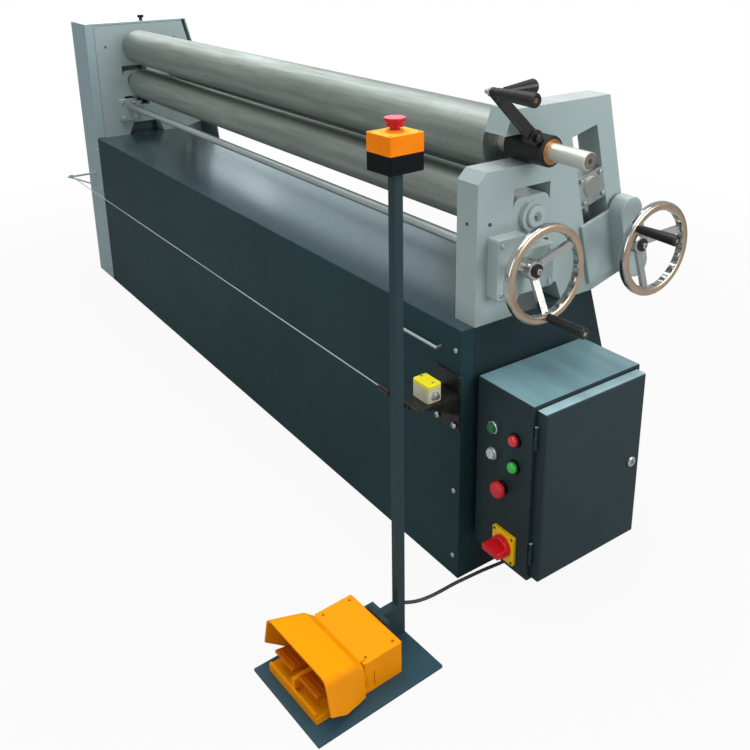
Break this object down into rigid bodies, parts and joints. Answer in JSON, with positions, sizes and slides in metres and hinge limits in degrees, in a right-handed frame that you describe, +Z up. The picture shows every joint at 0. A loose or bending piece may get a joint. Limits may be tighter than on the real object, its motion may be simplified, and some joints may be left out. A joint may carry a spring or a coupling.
{
  "type": "plate rolling machine",
  "caption": "Motorised plate bending machine: pinching and bending rolls between cheeks on a long base, with handwheels, trip wire, electric cabinet and foot-switch pedestal.",
  "frame": {"origin": "middle of the base's footprint, on the floor, at the centre of its anchor holes", "axes": "+X along the rolls towards the tail end with the handwheels, +Z up; the operator stands at -Y"},
  "size_m": [3.1565, 1.29, 1.3143],
  "materials": {
    "base_paint": "anthracite textured paint",
    "frame_paint": "light grey-green paint",
    "roll_steel": "turned and ground",
    "machined_steel": "machined",
    "zinc_steel": "zinc plated",
    "dark_steel": "black oxide",
    "bronze": "turned bronze",
    "chrome_rim": "polished",
    "grip_black": "moulded",
    "gearbox_paint": "painted casting",
    "cabinet_paint": "dark grey powder coat",
    "pedestal_paint": "dark teal-grey paint",
    "switch_orange": "moulded",
    "switch_black": "moulded",
    "stop_red": "moulded",
    "button_green": "moulded",
    "button_white": "moulded",
    "lamp_lens": "translucent lens",
    "plate_yellow": "moulded",
    "switch_beige": "moulded",
    "cable_black": "smooth sheath"
  },
  "bodies": {
    "frame": {"base_shell": "base_paint", "front_panel": "base_paint", "panel_rod": "zinc_steel", "head_cheek": "frame_paint", "tail_cheek": "frame_paint", "head_casing": "frame_paint", "fixing_screws": "zinc_steel", "front_worm_cover": "frame_paint", "head_shaft_brackets": "frame_paint", "rear_worm_housing": "frame_paint", "wire_bracket": "zinc_steel", "trip_bracket": "dark_steel", "trip_switch": "switch_beige", "trip_switch_lid": "plate_yellow", "cabinet_box": "cabinet_paint", "button_bezels": "chrome_rim", "signal_lamps": "lamp_lens", "main_switch_plate": "plate_yellow", "pedestal_stand": "pedestal_paint", "estop_box": "switch_black", "estop_lid": "switch_orange", "pedal_base": "switch_orange", "pedal_hood": "switch_orange", "pedal_cable": "cable_black"},
    "pivot_bearing": {"top_pivot_bearing": "machined_steel"},
    "top_roll": {"top_roll": "roll_steel"},
    "release_lever": {"top_sleeve": "dark_steel", "top_bush": "bronze", "release_lever": "dark_steel", "lever_grips": "grip_black"},
    "lower_carriage": {"lower_blocks": "machined_steel", "lower_bushes": "bronze", "gearbox": "gearbox_paint", "drive_motor": "gearbox_paint"},
    "lower_roll": {"lower_roll": "roll_steel", "lower_end_cap": "machined_steel"},
    "motor_rotor": {"motor_rotor": "machined_steel"},
    "front_wheel": {"front_shaft": "machined_steel", "front_handwheel": "chrome_rim"},
    "front_grip": {"front_grip": "grip_black"},
    "lower_nut_head": {"lower_nut_head": "bronze"},
    "lower_nut_tail": {"lower_nut_tail": "bronze"},
    "rear_carriage": {"rear_blocks": "machined_steel"},
    "rear_roll": {"rear_roll": "roll_steel"},
    "rear_wheel": {"rear_shaft": "machined_steel", "rear_handwheel": "chrome_rim"},
    "rear_grip": {"rear_grip": "grip_black"},
    "rear_nut_head": {"rear_nut_head": "bronze"},
    "rear_nut_tail": {"rear_nut_tail": "bronze"},
    "trip_wire": {"trip_wire": "zinc_steel", "wire_fitting": "dark_steel"},
    "cabinet_door": {"cabinet_door": "cabinet_paint"},
    "door_lock": {"door_lock": "zinc_steel"},
    "green_button": {"green_button": "button_green"},
    "white_button": {"white_button": "button_white"},
    "cabinet_estop": {"cabinet_estop": "stop_red"},
    "main_switch_knob": {"main_switch_knob": "stop_red"},
    "estop_button": {"estop_button": "stop_red"},
    "pedal_left": {"pedal_left": "switch_orange"},
    "pedal_right": {"pedal_right": "switch_orange"}
  },
  "joints": [
    {"name": "top_roll_swing", "type": "hinge", "parent": "frame", "child": "pivot_bearing", "pos_m": [-1.3845, -0.128, 1.143], "axis": [0, 0, 1], "range_deg": [-5, 0]},
    {"name": "top_roll_spin", "type": "hinge", "parent": "pivot_bearing", "child": "top_roll", "pos_m": [-1.3845, -0.128, 1.143], "axis": [1, 0, 0], "continuous": true},
    {"name": "lever_turn", "type": "hinge", "parent": "pivot_bearing", "child": "release_lever", "pos_m": [1.3785, -0.128, 1.143], "axis": [1, 0, 0], "range_deg": [-10, 55]},
    {"name": "lower_lift", "type": "slide", "parent": "frame", "child": "lower_carriage", "axis": [0, 0, 1], "range_m": [-0.01, 0.022]},
    {"name": "lower_roll_spin", "type": "hinge", "parent": "lower_carriage", "child": "lower_roll", "pos_m": [0, -0.128, 0.975], "axis": [1, 0, 0], "continuous": true},
    {"name": "rotor_spin", "type": "hinge", "parent": "lower_carriage", "child": "motor_rotor", "pos_m": [-1.27, -0.128, 0.56], "axis": [1, 0, 0], "continuous": true},
    {"name": "front_wheel_turn", "type": "hinge", "parent": "frame", "child": "front_wheel", "pos_m": [1.4575, -0.185, 0.867], "axis": [-1, 0, 0], "range_deg": [-1800, 3960]},
    {"name": "front_grip_spin", "type": "hinge", "parent": "front_wheel", "child": "front_grip", "pos_m": [1.5285, -0.17637, 0.75734], "axis": [1, 0, 0], "continuous": true},
    {"name": "lower_nut_head_turn", "type": "hinge", "parent": "frame", "child": "lower_nut_head", "pos_m": [-1.3845, -0.128, 0.867], "axis": [0, 0, 1], "range_deg": [-792, 360]},
    {"name": "lower_nut_tail_turn", "type": "hinge", "parent": "frame", "child": "lower_nut_tail", "pos_m": [1.3105, -0.128, 0.867], "axis": [0, 0, 1], "range_deg": [-792, 360]},
    {"name": "rear_climb", "type": "slide", "parent": "frame", "child": "rear_carriage", "axis": [0, -0.2504, 0.9681], "range_m": [-0.03, 0.06]},
    {"name": "rear_roll_spin", "type": "hinge", "parent": "rear_carriage", "child": "rear_roll", "pos_m": [0, 0.083, 1.01], "axis": [1, 0, 0], "continuous": true},
    {"name": "rear_wheel_turn", "type": "hinge", "parent": "frame", "child": "rear_wheel", "pos_m": [1.4795, 0.18125, 0.85775], "axis": [-1, 0, 0], "range_deg": [-3600, 7200]},
    {"name": "rear_grip_spin", "type": "hinge", "parent": "rear_wheel", "child": "rear_grip", "pos_m": [1.5505, 0.09886, 0.93064], "axis": [1, 0, 0], "continuous": true},
    {"name": "rear_nut_head_turn", "type": "hinge", "parent": "frame", "child": "rear_nut_head", "pos_m": [-1.3845, 0.12607, 0.84348], "axis": [0, -0.2504, 0.9681], "range_deg": [-1800, 900]},
    {"name": "rear_nut_tail_turn", "type": "hinge", "parent": "frame", "child": "rear_nut_tail", "pos_m": [1.3105, 0.12607, 0.84348], "axis": [0, -0.2504, 0.9681], "range_deg": [-1800, 900]},
    {"name": "trip_wire_pull", "type": "slide", "parent": "frame", "child": "trip_wire", "axis": [-1, 0, 0], "range_m": [0, 0.006], "stiffness_N_per_m": 3000, "springref_m": -0.002},
    {"name": "cabinet_door_swing", "type": "hinge", "parent": "frame", "child": "cabinet_door", "pos_m": [1.5625, -0.2955, 0.356], "axis": [0, 0, 1], "range_deg": [-120, 0]},
    {"name": "door_lock_turn", "type": "hinge", "parent": "cabinet_door", "child": "door_lock", "pos_m": [1.5885, 0.02, 0.35], "axis": [1, 0, 0], "range_deg": [-90, 0]},
    {"name": "green_button_press", "type": "slide", "parent": "frame", "child": "green_button", "axis": [0, 1, 0], "range_m": [0, 0.004], "stiffness_N_per_m": 800, "springref_m": -0.002},
    {"name": "white_button_press", "type": "slide", "parent": "frame", "child": "white_button", "axis": [0, 1, 0], "range_m": [0, 0.004], "stiffness_N_per_m": 800, "springref_m": -0.002},
    {"name": "cabinet_estop_press", "type": "slide", "parent": "frame", "child": "cabinet_estop", "axis": [0, 1, 0], "range_m": [0, 0.006]},
    {"name": "main_switch_turn", "type": "hinge", "parent": "frame", "child": "main_switch_knob", "pos_m": [1.4795, -0.32, 0.175], "axis": [0, 1, 0], "range_deg": [0, 90]},
    {"name": "estop_button_press", "type": "slide", "parent": "frame", "child": "estop_button", "axis": [0, 0, -1], "range_m": [0, 0.006]},
    {"name": "pedal_left_press", "type": "hinge", "parent": "frame", "child": "pedal_left", "pos_m": [1.42655, -0.77879, 0.042], "axis": [0.9986, 0.0523, 0], "range_deg": [0, 8], "stiffness_Nm_per_rad": 6, "springref_deg": -8.59},
    {"name": "pedal_right_press", "type": "hinge", "parent": "frame", "child": "pedal_right", "pos_m": [1.42655, -0.77879, 0.042], "axis": [0.9986, 0.0523, 0], "range_deg": [0, 8], "stiffness_Nm_per_rad": 6, "springref_deg": -8.59}
  ],
  "couplings": [
    {"joint": "lower_lift", "follows": "front_wheel_turn", "m_per_rad": 0.00031831},
    {"joint": "lower_nut_head_turn", "follows": "front_wheel_turn", "ratio": -0.2},
    {"joint": "lower_nut_tail_turn", "follows": "front_wheel_turn", "ratio": -0.2},
    {"joint": "rear_climb", "follows": "rear_wheel_turn", "m_per_rad": 0.00047746},
    {"joint": "rear_nut_head_turn", "follows": "rear_wheel_turn", "ratio": -0.25},
    {"joint": "rear_nut_tail_turn", "follows": "rear_wheel_turn", "ratio": -0.25},
    {"joint": "rotor_spin", "follows": "lower_roll_spin", "ratio": -80}
  ]
}
